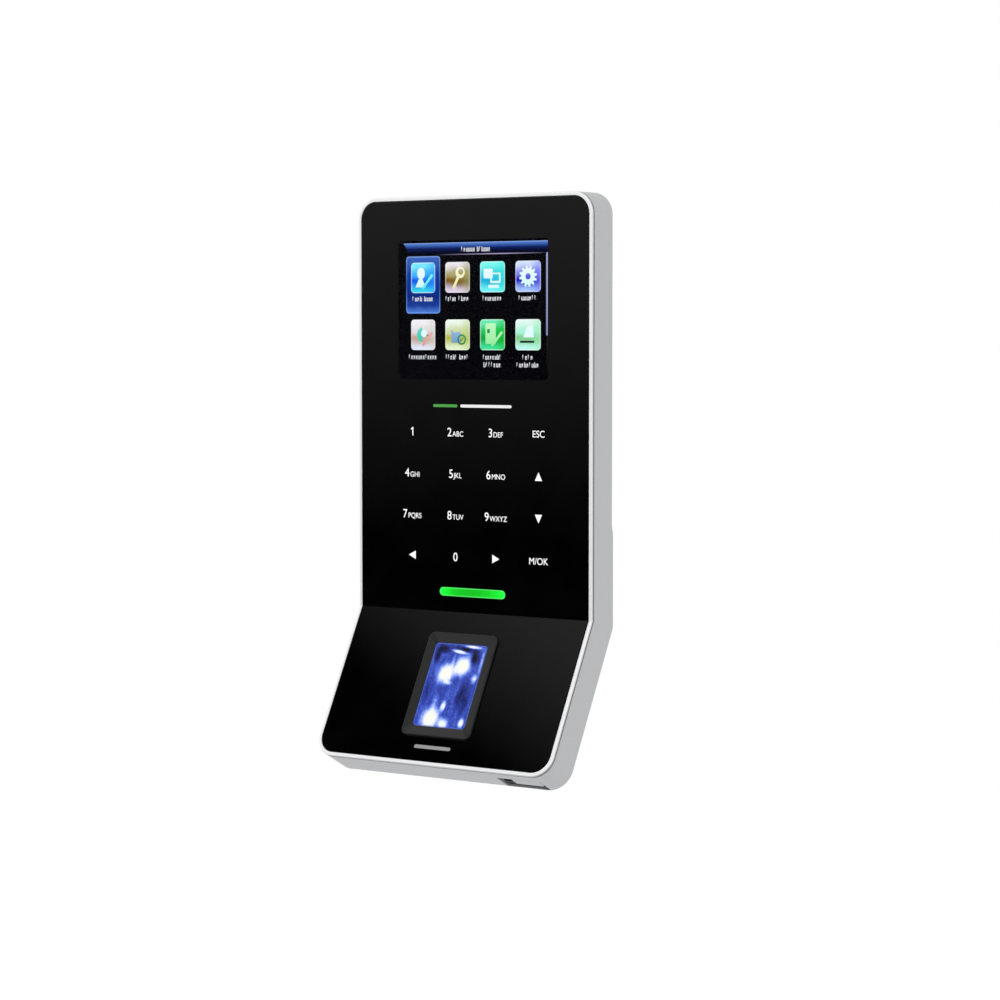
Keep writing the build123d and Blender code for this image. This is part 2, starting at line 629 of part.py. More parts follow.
def sensor_prism():
    window = [size - 2 * FIT for size in READER_WINDOW]
    prism = reader_plate(window, (GLASS_FRONT, 2.2), 0.9)
    near = READER_DOWN - window[1] / 2
    far = READER_DOWN + window[1] / 2
    section = [(2.0, -near - 0.4), (5.6, -near - 4.5), (5.6, -far + 9.0), (2.0, -far + 0.4)]
    wedge = LOWER_SIDE * make_face(Polyline(*section, close=True))
    return prism + extrude(wedge, 7.6, both=True)


def sensor_housing():
    down_span = (6.6, 40.2)
    box = plate(LOWER, span(0, 23.0), down(down_span), READER_BOX, 1.2)
    room = (down_span[0] + 1.0, down_span[1] - 1.0)
    box -= plate(LOWER, span(0, 21.0), down(room), (READER_BOX[0] - 1, READER_BOX[1] - 0.8), 0.6)
    lid = plate(LOWER, span(0, 23.0), down((37.0, down_span[1])), (READER_BOX[0] - 0.8, READER_BOX[0]), 0.8)
    box += lid
    return box - plate(LOWER, span(0, 11.0), down((5.0, 8.0)), (6.1, READER_BOX[1] - 0.8))


def sensor_board():
    return plate(LOWER, span(0, 20.6), down((7.8, 39.0)), (6.7, 7.2), 0.4)


def sensor_leds():
    spots = [(x, y) for x in (-9.0, 9.0) for y in (12.0, 20.0, 28.0)]
    return group([plate(LOWER, span(x, 1.4), span(-y, 2.0), (6.0, 6.7)) for x, y in spots])


def sensor_lens():
    barrel = rod(LOWER, 0, -35.8, (3.4, 6.7), 2.2)
    barrel -= rod(LOWER, 0, -35.8, (2.0, 4.2), 1.5)
    return fillet(ends(LOWER, barrel)[1].edges().sort_by(SortBy.LENGTH)[-1], 0.3)


def sensor_ribbon():
    lower_path = [(-10.0, 6.58), (-2.5, 6.58)]
    upper_path = [(1.5, 7.4), (7.6, 7.4)]
    points = [side_point(LOWER_SIDE, *point) for point in lower_path]
    points += [side_point(UPPER_SIDE, *point) for point in upper_path]
    return ribbon(points, 8.0, 0.2)


def ribbon_sockets():
    """Two flat-cable sockets on the lower edge of the main board."""
    return group([on_board(x, 9.2, (width, 3.0), 1.4) for x, width in ((0.0, 10.4), (23.0, 8.4))])


# ---- service port ---------------------------------------------------------------------------
def hinge_rod(radius, depth):
    pin_down = LOWER_LENGTH - FLAP_THICKNESS / 2
    return rod(LOWER, FLAP_ACROSS[1], -pin_down, depth, radius)


def usb_flap():
    outside = LOWER_LENGTH
    inside = LOWER_LENGTH - FLAP_THICKNESS
    leaf = plate(LOWER, FLAP_ACROSS, down((inside, outside)), FLAP_DEPTH)
    leaf += hinge_rod(FLAP_THICKNESS / 2, FLAP_DEPTH)
    nail = Axis(LOWER.from_local_coords((FLAP_ACROSS[0], 0, 0)), LOWER.z_dir)
    leaf = fillet(leaf.edges().filter_by(nail).sort_by(Axis.X)[:1], 0.4)
    return leaf - hinge_rod(PIN_RADIUS + 0.05, (FLAP_DEPTH[0] - 1, FLAP_DEPTH[1] + 1))


def usb_hinge_pin():
    return hinge_rod(PIN_RADIUS, (2.95, 7.9))


def port_bracket():
    """Dark plastic behind the cut-out: it frames the socket and holds the hinge pin's far end."""
    wall_inner = LOWER_LENGTH - WALL
    floor = plate(LOWER, (19.0, 33.2), down((wall_inner - 0.8, wall_inner)), (2.6, 8.2))
    sill = plate(LOWER, (20.4, 33.7), down((wall_inner, 44.1)), (7.05, 9.55))
    ear = plate(LOWER, (32.0, 33.7), down((wall_inner, 44.6)), (7.05, 9.55))
    bracket = floor + sill + ear
    mouth = [(low - FIT, high + FIT) for low, high in USB_SHELL]
    bracket -= plate(LOWER, mouth[0], down((40, 43.2)), mouth[1])
    return bracket - hinge_rod(PIN_RADIUS + 0.01, (6.0, 8.0))


def usb_shell():
    skin = 0.3
    hollow = [(low + skin, high - skin) for low, high in USB_SHELL]
    tube = plate(LOWER, USB_SHELL[0], down(USB_DOWN), USB_SHELL[1])
    tube = fillet(tube.edges().filter_by(Axis((0, 0, 0), LOWER.y_dir)), 0.5)
    return tube - plate(LOWER, hollow[0], down((USB_DOWN[0] + 0.5, USB_DOWN[1] + 1)), hollow[1])


def usb_tongue():
    return plate(LOWER, span(28.6, 4.6), down((USB_DOWN[0] + 0.5, USB_DOWN[1] - 0.6)), (5.0, 5.7))


def usb_board():
    board = plate(LOWER, (15.5, 33.0), down((28.5, 42.0)), (6.8, 7.6), 0.8)
    return board - port_board_post(1.1, (6, 9))


def usb_ribbon():
    lower_path = [(-28.4, 7.2), (-1.8, 7.2)]
    upper_path = [(1.5, 7.4), (7.6, 7.4)]
    points = [side_point(LOWER_SIDE, *point) for point in lower_path]
    points += [side_point(UPPER_SIDE, *point) for point in upper_path]
    return ribbon(points, 6.0, 0.2, x=23.0)


# ---- write every sub-part -------------------------------------------------------------------
SUBPARTS = [
    main_shell, front_bezel, front_panel, rear_housing, rear_seal, housing_screws, bezel_screws,
    wall_plate, security_screw,
    display_window, lcd_frame, lcd_panel, lcd_backlight, lcd_ribbon,
    keypad_board, key_leds, reader_coil, status_light_guide, status_leds,
    main_board, board_screws, processor_chips, board_parts, crystal, relay, cell_holder, clock_cell,
    wall_connectors, network_connector, connector_pins, speaker, ribbon_sockets,
    tamper_switch, tamper_plunger, tamper_spring, reset_switch, reset_button, reset_spring,
    sensor_bezel, sensor_prism, sensor_housing, sensor_board, sensor_leds, sensor_lens, sensor_ribbon,
    usb_flap, usb_hinge_pin, port_bracket, usb_shell, usb_tongue, usb_board, usb_ribbon,
]

os.makedirs("parts", exist_ok=True)
for make in SUBPARTS:
    export_step(make(), f"parts/{make.__name__}.step")
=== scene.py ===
"""Camera, light and looks of the wall-mounted fingerprint terminal.

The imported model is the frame, in metres. The front is two flat halves that meet in a bend, and what
is printed or lit on them is laid out in millimetres in each half's own plane.
"""
import math
import random

import bmesh
import bpy
from mathutils import Matrix, Vector


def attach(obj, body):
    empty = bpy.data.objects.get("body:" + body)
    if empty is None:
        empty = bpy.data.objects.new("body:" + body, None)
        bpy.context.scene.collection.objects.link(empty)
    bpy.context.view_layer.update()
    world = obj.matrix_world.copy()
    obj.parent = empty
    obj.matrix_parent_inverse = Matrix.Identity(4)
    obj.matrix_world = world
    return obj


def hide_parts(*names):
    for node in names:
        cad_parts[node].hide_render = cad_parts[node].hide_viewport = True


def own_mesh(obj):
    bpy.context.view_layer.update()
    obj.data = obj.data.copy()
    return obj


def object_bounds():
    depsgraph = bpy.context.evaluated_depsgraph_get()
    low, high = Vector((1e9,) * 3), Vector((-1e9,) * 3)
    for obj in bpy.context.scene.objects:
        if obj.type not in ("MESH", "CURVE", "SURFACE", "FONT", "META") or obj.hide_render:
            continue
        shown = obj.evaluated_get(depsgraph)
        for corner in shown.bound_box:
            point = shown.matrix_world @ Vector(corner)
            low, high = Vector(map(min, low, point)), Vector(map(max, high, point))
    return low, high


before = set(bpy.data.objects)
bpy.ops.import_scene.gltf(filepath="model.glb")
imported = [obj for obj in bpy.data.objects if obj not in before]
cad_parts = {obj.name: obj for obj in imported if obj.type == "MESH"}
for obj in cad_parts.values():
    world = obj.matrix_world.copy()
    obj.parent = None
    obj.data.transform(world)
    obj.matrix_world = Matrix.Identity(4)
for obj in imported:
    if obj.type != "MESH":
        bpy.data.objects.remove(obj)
cad_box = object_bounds()
MM = 0.001

# ---- driving sizes, in millimetres ----------------------------------------------------------
BEND_HEIGHT = -56.0  # the bend line, from the wall screws' centre
FRONT_TO_WALL = 19.4  # front plane of the upper half
TILT = 28.0  # lean of the lower half, degrees
PANEL_TOP = 0.6  # the black panel's face in front of the rim's plane

SCREEN_AT = (0.3, 82.9)  # centre of the picture, from the bend
SCREEN_DEPTH = 0.99  # the picture, behind the rim's plane
PICTURE_LAYER = 0.005  # between the picture's layers
TILE = (8.2, 8.35)
TILE_COLUMNS = (-17.5, -5.83, 5.83, 17.5)
TILE_ROWS = (8.85, -6.8)
KEY_COLUMNS = (-20.3, -5.6, 7.9, 21.9)
KEY_ROWS = (49.5, 38.1, 26.7, 15.3)
LIGHT_AT = (0.0, 5.65)
LIGHT_SIZE = (21.9, 2.3)
READER_AT = (0.0, -21.6)
READER_WINDOW = (17.1, 24.2)

CAMERA_AT = (449.7, -649.9, 19.2)
CAMERA_TURN = 34.96  # about the vertical
CAMERA_DIP = -3.26
CAMERA_LENS = 102.34


def half(tilt):
    """A half's plane: x across, y up from the bend, z out of the front."""
    bend = Vector((0, -FRONT_TO_WALL, BEND_HEIGHT)) * MM
    return Matrix.Translation(bend) @ Matrix.Rotation(math.radians(90 - tilt), 4, "X")


UPPER = half(0)
LOWER = half(TILT)


def spot(plane, x, y, z=0.0):
    """A place on a half, in millimetres."""
    return plane @ Matrix.Translation(Vector((x, y, z)) * MM)


# ---- nodes ----------------------------------------------------------------------------------
def rgb(code):
    """The linear colour of a #rrggbb code."""
    channels = [int(code[i : i + 2], 16) / 255 for i in (1, 3, 5)]
    linear = [c / 12.92 if c <= 0.04045 else ((c + 0.055) / 1.055) ** 2.4 for c in channels]
    return (*linear, 1.0)


def add_node(tree, kind, inputs=None, **settings):
    """A node with its settings, and its inputs by name or number: a value, or an output to link."""
    node = tree.nodes.new(kind)
    for name, value in settings.items():
        setattr(node, name, value)
    for name, value in (inputs or {}).items():
        if isinstance(value, bpy.types.NodeSocket):
            tree.links.new(value, node.inputs[name])
        else:
            node.inputs[name].default_value = value
    return node


def colour_ramp(tree, value, stops, smooth=False):
    """Colours along a value. Stops are (position, #rrggbb)."""
    node = add_node(tree, "ShaderNodeValToRGB", {"Fac": value})
    node.color_ramp.interpolation = "EASE" if smooth else "LINEAR"
    elements = node.color_ramp.elements
    while len(elements) < len(stops):
        elements.new(1.0)
    for element, (position, code) in zip(elements, stops):
        element.position = position
        element.color = rgb(code)
    return node.outputs["Color"]


class Paint:
    """A Principled material, and short calls that put nodes in front of its sockets."""

    def __init__(self, name, look):
        self.material = bpy.data.materials.new(name)
        self.material.use_nodes = True
        self.tree = self.material.node_tree
        self.shader = self.tree.nodes["Principled BSDF"]
        for socket, value in look.items():
            self.shader.inputs[socket].default_value = value

    def add(self, kind, inputs=None, **settings):
        return add_node(self.tree, kind, inputs, **settings)

    def feed(self, socket, output):
        self.tree.links.new(output, self.shader.inputs[socket])

    def local(self):
        """The piece's own coordinates. Pieces made here are drawn in millimetres."""
        return self.add("ShaderNodeTexCoord").outputs["Object"]

    def on(self, place=None):
        """Millimetres from a place, for a CAD node, whose own coordinates are metres."""
        place = place or Matrix.Identity(4)
        node = self.add("ShaderNodeMapping", {"Vector": self.local()}, vector_type="TEXTURE")
        node.inputs["Location"].default_value = place.to_translation()
        node.inputs["Rotation"].default_value = place.to_euler()
        node.inputs["Scale"].default_value = (MM, MM, MM)
        return node.outputs["Vector"]

    def axes(self, where):
        return self.add("ShaderNodeSeparateXYZ", {"Vector": where}).outputs

    def stretch(self, where, factors):
        """The coordinates squeezed or drawn out, so that a pattern runs along one way."""
        node = self.add("ShaderNodeMapping", {"Vector": where, "Scale": factors})
        return node.outputs["Vector"]

    def noise(self, where, size, detail=2.0):
        inputs = {"Vector": where, "Scale": 1 / size, "Detail": detail}
        return self.add("ShaderNodeTexNoise", inputs).outputs["Fac"]

    def cells(self, where, size, output="Color"):
        inputs = {"Vector": where, "Scale": 1 / size}
        return self.add("ShaderNodeTexVoronoi", inputs).outputs[output]

    def remap(self, value, start, end, low=0.0, high=1.0, kind="SMOOTHSTEP"):
        inputs = {"Value": value, "From Min": start, "From Max": end, "To Min": low, "To Max": high}
        return self.add("ShaderNodeMapRange", inputs, interpolation_type=kind).outputs["Result"]

    def maths(self, operation, first, second=0.0):
        return self.add("ShaderNodeMath", {0: first, 1: second}, operation=operation).outputs[0]

    def mix(self, share, first, second):
        """The first colour at share 0, the second at 1."""
        node = self.add("ShaderNodeMix", data_type="RGBA")
        for index, value in ((0, share), (6, first), (7, second)):
            if isinstance(value, bpy.types.NodeSocket):
                self.tree.links.new(value, node.inputs[index])
            else:
                node.inputs[index].default_value = rgb(value) if isinstance(value, str) else value
        return node.outputs[2]

    def ramp(self, value, stops, smooth=False):
        return colour_ramp(self.tree, value, stops, smooth)

    def bump(self, height, depth, strength=1.0):
        """Raises the surface by up to depth millimetres."""
        inputs = {"Height": height, "Distance": depth * MM, "Strength": strength}
        self.feed("Normal", self.add("ShaderNodeBump", inputs).outputs["Normal"])

    def grain(self, where, size, dark, light, rough, depth=0.0):
        """Fine variation of colour, roughness and, with a depth, height."""
        value = self.noise(where, size)
        self.feed("Base Color", self.ramp(value, [(0.3, dark), (0.7, light)]))
        self.feed("Roughness", self.remap(value, 0.25, 0.75, *rough, kind="LINEAR"))
        if depth:
            self.bump(value, depth)


# ---- materials of the casing ----------------------------------------------------------------
def silver_shell():
    paint = Paint("silver paint", {"Metallic": 0.55})
    where = paint.on()
    paint.grain(where, 0.12, "#a8a9ab", "#b5b6b8", (0.38, 0.46), 0.003)
    return paint


def bright_rim():
    """Near-white satin plating, with painted shade that turns it grey round the side, towards the
    groove behind it.
    """
    paint = Paint("bright rim", {"Metallic": 0.35})
    cloud = paint.noise(paint.on(), 3.0)
    forward = [paint.axes(paint.on(plane))["Z"] for plane in (UPPER, LOWER)]
    share = paint.remap(paint.maths("MINIMUM", *forward), -0.05, 0.45, kind="LINEAR")
    share = paint.maths("ADD", share, paint.maths("MULTIPLY", cloud, 0.02))
    # painted shade: grey on the rim's side and in the groove behind it, near-white on its front face
    stops = [(0.0, "#88888a"), (0.3, "#9e9ea0"), (0.8, "#d4d4d6"), (1.0, "#f6f7f8")]
    paint.feed("Base Color", paint.ramp(share, stops))
    paint.feed("Roughness", paint.remap(cloud, 0.25, 0.75, 0.3, 0.36, "LINEAR"))
    return paint


def gloss_black():
    """Hard-coated acrylic, with the faint unevenness of a wiped surface."""
    paint = Paint("gloss black acrylic", {"IOR": 1.49})
    paint.grain(paint.on(), 9.0, "#010101", "#030303", (0.02, 0.05))
    return paint


def clear_window():
    """Clear acrylic with a coating that cuts its reflections."""
    look = {"Transmission Weight": 1.0, "IOR": 1.49, "Base Color": rgb("#fbfcff")}
    paint = Paint("clear window", {"Specular Tint": rgb("#303030"), **look})
    paint.feed("Roughness", paint.remap(paint.noise(paint.on(), 7.0), 0.3, 0.7, 0.0, 0.015))
    return paint


def dark_frame():
    paint = Paint("dark satin frame", {"IOR": 1.5, "Coat Weight": 0.1, "Coat Roughness": 0.2})
    paint.grain(paint.on(), 0.16, "#0d0d0d", "#161615", (0.3, 0.42), 0.008)
    return paint


def dark_plastic():
    """Moulded black plastic with the pebbled texture of an eroded mould."""
    paint = Paint("textured black plastic", {})
    where = paint.on()
    paint.grain(where, 2.5, "#17181a", "#1f2022", (0.5, 0.62))
    paint.bump(paint.cells(where, 0.45, "Distance"), 0.02)
    return paint


def white_plastic():
    paint = Paint("white nylon", {"Subsurface Weight": 0.1, "Subsurface Scale": 0.5 * MM})
    paint.grain(paint.on(), 0.5, "#dcdad2", "#eae8e1", (0.38, 0.5), 0.004)
    return paint


def red_plastic():
    paint = Paint("red plastic", {"Coat Weight": 0.2})
    paint.grain(paint.on(), 0.4, "#a8140f", "#c01c14", (0.35, 0.45), 0.004)
    return paint


def seal_rubber():
    paint = Paint("seal rubber", {"Sheen Weight": 0.3})
    paint.grain(paint.on(), 0.25, "#0f0f10", "#1b1b1c", (0.7, 0.85), 0.012)
    return paint


# ---- metals ---------------------------------------------------------------------------------
def plate_steel():
    """Galvanised sheet, with its spangle."""
    paint = Paint("galvanised steel", {"Metallic": 1.0})
    where = paint.on()
    spangle = paint.axes(paint.cells(where, 3.6))["X"]
    frost = paint.noise(where, 0.3)
    spangle_share = paint.maths("MULTIPLY", spangle, 0.75)
    tone = paint.maths("ADD", spangle_share, paint.maths("MULTIPLY", frost, 0.25))
    paint.feed("Base Color", paint.ramp(tone, [(0.1, "#9da1a4"), (0.9, "#b5b9bb")]))
    paint.feed("Roughness", paint.remap(tone, 0.1, 0.9, 0.48, 0.38, "LINEAR"))
    paint.bump(frost, 0.004)
    return paint


def plated_steel():
    """Bright plated sheet, with rolling marks across it."""
    paint = Paint("bright plated steel", {"Metallic": 1.0})
    marks = paint.stretch(paint.on(), (0.05, 1, 1))
    paint.grain(marks, 0.08, "#c3c1bb", "#d6d4cd", (0.2, 0.34))
    return paint


def screw_steel():
    paint = Paint("zinc plated screws", {"Metallic": 1.0})
    where = paint.on()
    paint.grain(where, 0.25, "#8f9194", "#b3b5b8", (0.24, 0.4), 0.003)
    return paint


def spring_steel():
    paint = Paint("spring steel", {"Metallic": 1.0})
    paint.grain(paint.on(), 0.15, "#85888c", "#a7aaae", (0.2, 0.32))
    return paint


def copper():
    """Tinned copper on the pins, bare copper where it is lacquered."""
    paint = Paint("copper", {"Metallic": 1.0})
    paint.grain(paint.on(), 0.6, "#b8743f", "#d39560", (0.22, 0.36))
    return paint


# ---- electronics ----------------------------------------------------------------------------
def circuit_board():
    """Green solder mask over copper tracks, with tinned holes."""
    paint = Paint("circuit board", {"Coat Weight": 0.4, "Coat Roughness": 0.15})
    where = paint.on(UPPER)
    brick = {"Vector": where, "Scale": 1.0, "Mortar Size": 0.16, "Brick Width": 4.1, "Row Height": 1.3}
    tracks = paint.add("ShaderNodeTexBrick", brick).outputs["Fac"]
    patch = paint.remap(paint.noise(where, 9.0), 0.42, 0.5)
    tracks = paint.maths("MULTIPLY", tracks, patch)
    mask = paint.mix(tracks, "#0c3a20", "#1a5a33")
    holes = paint.remap(paint.cells(where, 2.9, "Distance"), 0.11, 0.14, 1.0, 0.0)
    paint.feed("Base Color", paint.mix(holes, mask, "#c9c7bd"))
    paint.feed("Metallic", holes)
    paint.feed("Roughness", paint.remap(paint.noise(where, 0.4), 0.3, 0.7, 0.35, 0.5))
    paint.bump(tracks, 0.02)
    return paint


def chip_black():
    paint = Paint("moulded epoxy", {})
    paint.grain(paint.on(), 0.2, "#141415", "#202022", (0.45, 0.6), 0.01)
    return paint


def lamp():
    """The yellow phosphor of a white light-emitting diode."""
    look = {"Coat Weight": 0.6, "Emission Color": rgb("#fff6d8"), "Emission Strength": 0.2}
    paint = Paint("white lamp", look)
    paint.grain(paint.on(), 0.3, "#d8cf8a", "#ece3a4", (0.3, 0.4))
    return paint


def blue_lamp():
    look = {"Coat Weight": 0.6, "Emission Color": rgb("#5a7dff"), "Emission Strength": 2.0}
    paint = Paint("blue lamp", look)
    paint.grain(paint.on(), 0.3, "#aab8e8", "#ccd6f6", (0.3, 0.4))
    return paint


def flat_cable():
    """White film with its conductors showing through as stripes."""
    paint = Paint("flat cable", {"Coat Weight": 0.3})
    across = paint.axes(paint.on())["X"]
    stripe = paint.maths("MULTIPLY", paint.maths("PINGPONG", across, 0.5), 2.0)
    paint.feed("Base Color", paint.ramp(stripe, [(0.35, "#b9bcc0"), (0.5, "#e9e9e6")]))
    paint.feed("Roughness", paint.remap(paint.noise(paint.on(), 1.0), 0.3, 0.7, 0.28, 0.4))
    return paint


def lit_screen():
    """The dark liquid crystal cell: its pixel grid, and the little light that leaks through."""
    paint = Paint("liquid crystal cell", {"Specular IOR Level": 0.05, "Emission Strength": 1.0})
    where = paint.on(UPPER)
    pitch = 0.15
    x, y = paint.axes(where)["X"], paint.axes(where)["Y"]
    columns = paint.maths("PINGPONG", x, pitch / 2)
    rows = paint.maths("PINGPONG", y, pitch / 2)
    grid = paint.remap(paint.maths("MINIMUM", columns, rows), 0.0, 0.03)
    paint.feed("Emission Color", paint.ramp(grid, [(0.0, "#000000"), (1.0, "#020206")]))
    paint.feed("Base Color", paint.ramp(paint.noise(where, 6.0), [(0.3, "#010102"), (0.7, "#030305")]))
    paint.feed("Roughness", paint.remap(paint.noise(where, 0.5), 0.3, 0.7, 0.2, 0.3))
    return paint


def green_light():
    """A light guide: lamps behind it, brighter at the ends, and a pale edge where it is rounded."""
    look = {"Coat Weight": 0.5, "Coat Roughness": 0.08, "Emission Strength": 1.0, "Roughness": 0.25}
    paint = Paint("green light guide", look)
    axes = paint.axes(paint.on(spot(UPPER, *LIGHT_AT)))
    half_width, radius = LIGHT_SIZE[0] / 2, LIGHT_SIZE[1] / 2
    along = paint.maths("ABSOLUTE", axes["X"])
    beyond = paint.maths("MAXIMUM", paint.maths("SUBTRACT", along, half_width - radius), 0.0)
    out = paint.maths("SQRT", paint.maths("ADD", paint.maths("POWER", beyond, 2.0),
                                          paint.maths("POWER", axes["Y"], 2.0)))
    edge = paint.remap(out, radius - 0.32, radius - 0.05)
    wave = paint.noise(paint.stretch(paint.on(spot(UPPER, *LIGHT_AT)), (0.4, 1, 1)), 1.6)
    share = paint.maths("DIVIDE", along, half_width)
    uneven = paint.maths("ADD", share, paint.maths("MULTIPLY", wave, 0.12))
    core = paint.ramp(uneven, [(0.1, "#04b414"), (0.6, "#08c818"), (0.85, "#0ae828"), (1.0, "#14ff48")])
    paint.feed("Emission Color", paint.mix(edge, core, "#58e86c"))
    paint.feed("Base Color", paint.ramp(wave, [(0.3, "#064d10"), (0.7, "#0a6a18")]))
    return paint


# Lights and shadows seen in the prism: across and down as shares of the window, half width and half
# height in millimetres, turn in degrees, and how much brighter or darker.
READER_SPOTS = [
    (0.35, 0.36, 4.4, 4.4, 0, 0.70),
    (0.63, 0.26, 4.0, 4.4, 0, 0.75),
    (0.42, 0.20, 0.9, 3.6, 0, 0.20),
    (0.92, 0.40, 1.4, 2.0, 0, 0.45),
    (0.45, 0.47, 2.6, 0.9, -8, 0.25),
    (0.48, 0.75, 1.2, 2.4, 0, 0.60),
    (0.30, 0.72, 1.6, 4.0, -10, 0.20),
    (0.30, 0.91, 4.6, 5.0, -15, 0.75),
    (0.57, 0.96, 2.6, 2.8, 0, 0.55),
    (0.91, 0.93, 1.4, 2.0, 0, 0.60),
    (0.50, 0.09, 4.4, 0.8, -7, 0.70),
    (0.72, 0.025, 4.8, 0.7, -3, 0.60),
    (0.97, 0.20, 0.8, 5.5, 0, 0.30),
    (0.20, 0.07, 3.6, 2.0, -5, -0.35),
    (0.60, 0.06, 6.0, 1.4, -5, -0.30),
    (0.82, 0.16, 2.2, 3.2, 0, -0.35),
    (0.10, 0.16, 1.6, 3.0, 0, -0.25),
    (0.80, 0.62, 3.6, 6.0, 0, -0.22),
    (0.08, 0.58, 2.0, 5.0, 0, -0.12),
]


def reader_glass():
    """The reader's window: blue light in the prism below, with the lamps' images as bright patches."""
    look = {"Coat Weight": 0.5, "Coat Roughness": 0.05, "Emission Strength": 1.0, "Roughness": 0.12}
    paint = Paint("fingerprint window", look)
    where = paint.on(spot(LOWER, *READER_AT))
    width, height = READER_WINDOW
    streaks = paint.maths("MULTIPLY", paint.noise(paint.stretch(where, (1, 0.3, 0)), 1.8, 4.0), 0.45)
    fine = paint.maths("MULTIPLY", paint.noise(paint.stretch(where, (1, 1, 0)), 0.7, 3.0), 0.25)
    level = paint.maths("ADD", streaks, fine)
    for across, along, half_width, half_height, turn, gain in READER_SPOTS:
        place = {"Vector": where, "Rotation": (0.0, 0.0, math.radians(turn)),
                 "Location": ((across - 0.5) * width, (0.5 - along) * height, 0.0),
                 "Scale": (half_width, half_height, 1000.0)}
        offset = paint.add("ShaderNodeMapping", place, vector_type="TEXTURE").outputs[0]
        reach = paint.add("ShaderNodeVectorMath", {0: offset}, operation="LENGTH").outputs["Value"]
        level = paint.maths("ADD", level, paint.remap(reach, 1.0, 0.0, 0.0, gain))
    stops = [(0.02, "#02030c"), (0.18, "#1a2468"), (0.34, "#3448b0"), (0.48, "#5674e0"),
             (0.62, "#a0b6ff"), (0.8, "#f4faff"), (1.0, "#fffff2")]
    blue = paint.ramp(level, stops)
    axes = paint.axes(where)
    # painted highlight: a paler blue line round the window's border, where its bevel catches light
    beyond_x = paint.maths("SUBTRACT", paint.maths("ABSOLUTE", axes["X"]), width / 2 - 0.3)
    beyond_y = paint.maths("SUBTRACT", paint.maths("ABSOLUTE", axes["Y"]), height / 2 - 0.3)
    rim = paint.remap(paint.maths("MAXIMUM", beyond_x, beyond_y), 0.0, 0.15, 0.0, 0.7)
    paint.feed("Emission Color", paint.mix(rim, blue, "#5a6cc0"))
    paint.feed("Base Color", paint.ramp(level, [(0.2, "#020308"), (0.8, "#060a20")]))
    return paint


FINISHES = [
    silver_shell, bright_rim, gloss_black, clear_window, dark_frame, dark_plastic, white_plastic,
    red_plastic, seal_rubber, plate_steel, plated_steel, screw_steel, spring_steel, copper,
    circuit_board, chip_black, lamp, blue_lamp, flat_cable, lit_screen, green_light, reader_glass,
]


def dress_nodes():
    """Each CAD node's material carries the name of its slot, and so does each finish."""
    finished = {finish.__name__: finish().material for finish in FINISHES}
    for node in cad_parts.values():
        for slot in node.material_slots:
            slot.material = finished[slot.material.name]


# ---- springs --------------------------------------------------------------------------------
# Each spring's joint, the depth of its fixed end, and the share of its length it keeps when pressed.
SPRINGS = {
    "tamper_spring": ("tamper_slide", 7.2, 0.62),
    "reset_spring": ("reset_slide", 7.4, 0.72),
}


def press_springs():
    """Gives each spring a copy of its mesh as its visual, fixed to the root, in place of its CAD node.
    """
    for name, (joint, seat, keep) in SPRINGS.items():
        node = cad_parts[name]
        spring = bpy.data.objects.new(f"{name}_wire", node.data.copy())
        bpy.context.scene.collection.objects.link(spring)
        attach(spring, "root")
        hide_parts(name)
        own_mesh(spring)


# ---- flat shapes, in millimetres ------------------------------------------------------------
def rounded(width, height, corner, x=0.0, y=0.0, steps=6):
    """The outline of a rectangle with round corners."""
    outline = []
    for quarter, (side_x, side_y) in enumerate(((1, 1), (-1, 1), (-1, -1), (1, -1))):
        for step in range(steps + 1):
            angle = math.radians(90 * (quarter + step / steps))
            outline.append((x + side_x * (width / 2 - corner) + corner * math.cos(angle),
                            y + side_y * (height / 2 - corner) + corner * math.sin(angle)))
    return outline


def disc(radius, x=0.0, y=0.0, stretch=1.0, steps=32):
    turns = [2 * math.pi * step / steps for step in range(steps)]
    return [(x + radius * math.cos(turn), y + stretch * radius * math.sin(turn)) for turn in turns]


def bar(start, end, width):
    """A straight stroke."""
    along = Vector(end) - Vector(start)
    side = Vector((-along.y, along.x)).normalized() * width / 2
    return [tuple(Vector(start) + side), tuple(Vector(start) - side),
            tuple(Vector(end) - side), tuple(Vector(end) + side)]


def gear(radius, root, teeth):
    outline = []
    for tooth in range(teeth):
        for share, reach in ((0.0, root), (0.2, radius), (0.5, radius), (0.7, root)):
            turn = 2 * math.pi * (tooth + share) / teeth
            outline.append((reach * math.cos(turn), reach * math.sin(turn)))
    return outline


def moved(outline, x, y):
    return [(px + x, py + y) for px, py in outline]


# ---- pieces ---------------------------------------------------------------------------------
def mesh_of(curve):
    holder = bpy.data.objects.new(curve.name, curve)
    mesh = bpy.data.meshes.new_from_object(holder)
    bpy.data.objects.remove(holder)
    return mesh


def flat_mesh(name, outlines, thickness):
    """A thin plate. An outline inside another is a hole."""
    curve = bpy.data.curves.new(name, "CURVE")
    curve.dimensions = "2D"
    curve.fill_mode = "BOTH"
    curve.extrude = thickness / 2
    for outline in outlines:
        spline = curve.splines.new("POLY")
        spline.points.add(len(outline) - 1)
        for point, (x, y) in zip(spline.points, outline):
            point.co = (x, y, 0, 1)
        spline.use_cyclic_u = True
    return mesh_of(curve)


def stacked_mesh(name, layers, thickness=0.004):
    """Plates one in front of another. Layers are (outlines, material)."""
    whole = bmesh.new()
    for level, (outlines, _) in enumerate(layers):
        part = flat_mesh(name, outlines, thickness)
        part.transform(Matrix.Translation((0, 0, level * PICTURE_LAYER)))
        for face in part.polygons:
            face.material_index = level
        whole.from_mesh(part)
    mesh = bpy.data.meshes.new(name)
    whole.to_mesh(mesh)
    whole.free()
    for _, material in layers:
        mesh.materials.append(material)
    return mesh


def add_piece(name, mesh, place):
    piece = bpy.data.objects.new(name, mesh)
    bpy.context.scene.collection.objects.link(piece)
    piece.matrix_world = place @ Matrix.Scale(MM, 4)
    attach(piece, "root")
    return piece


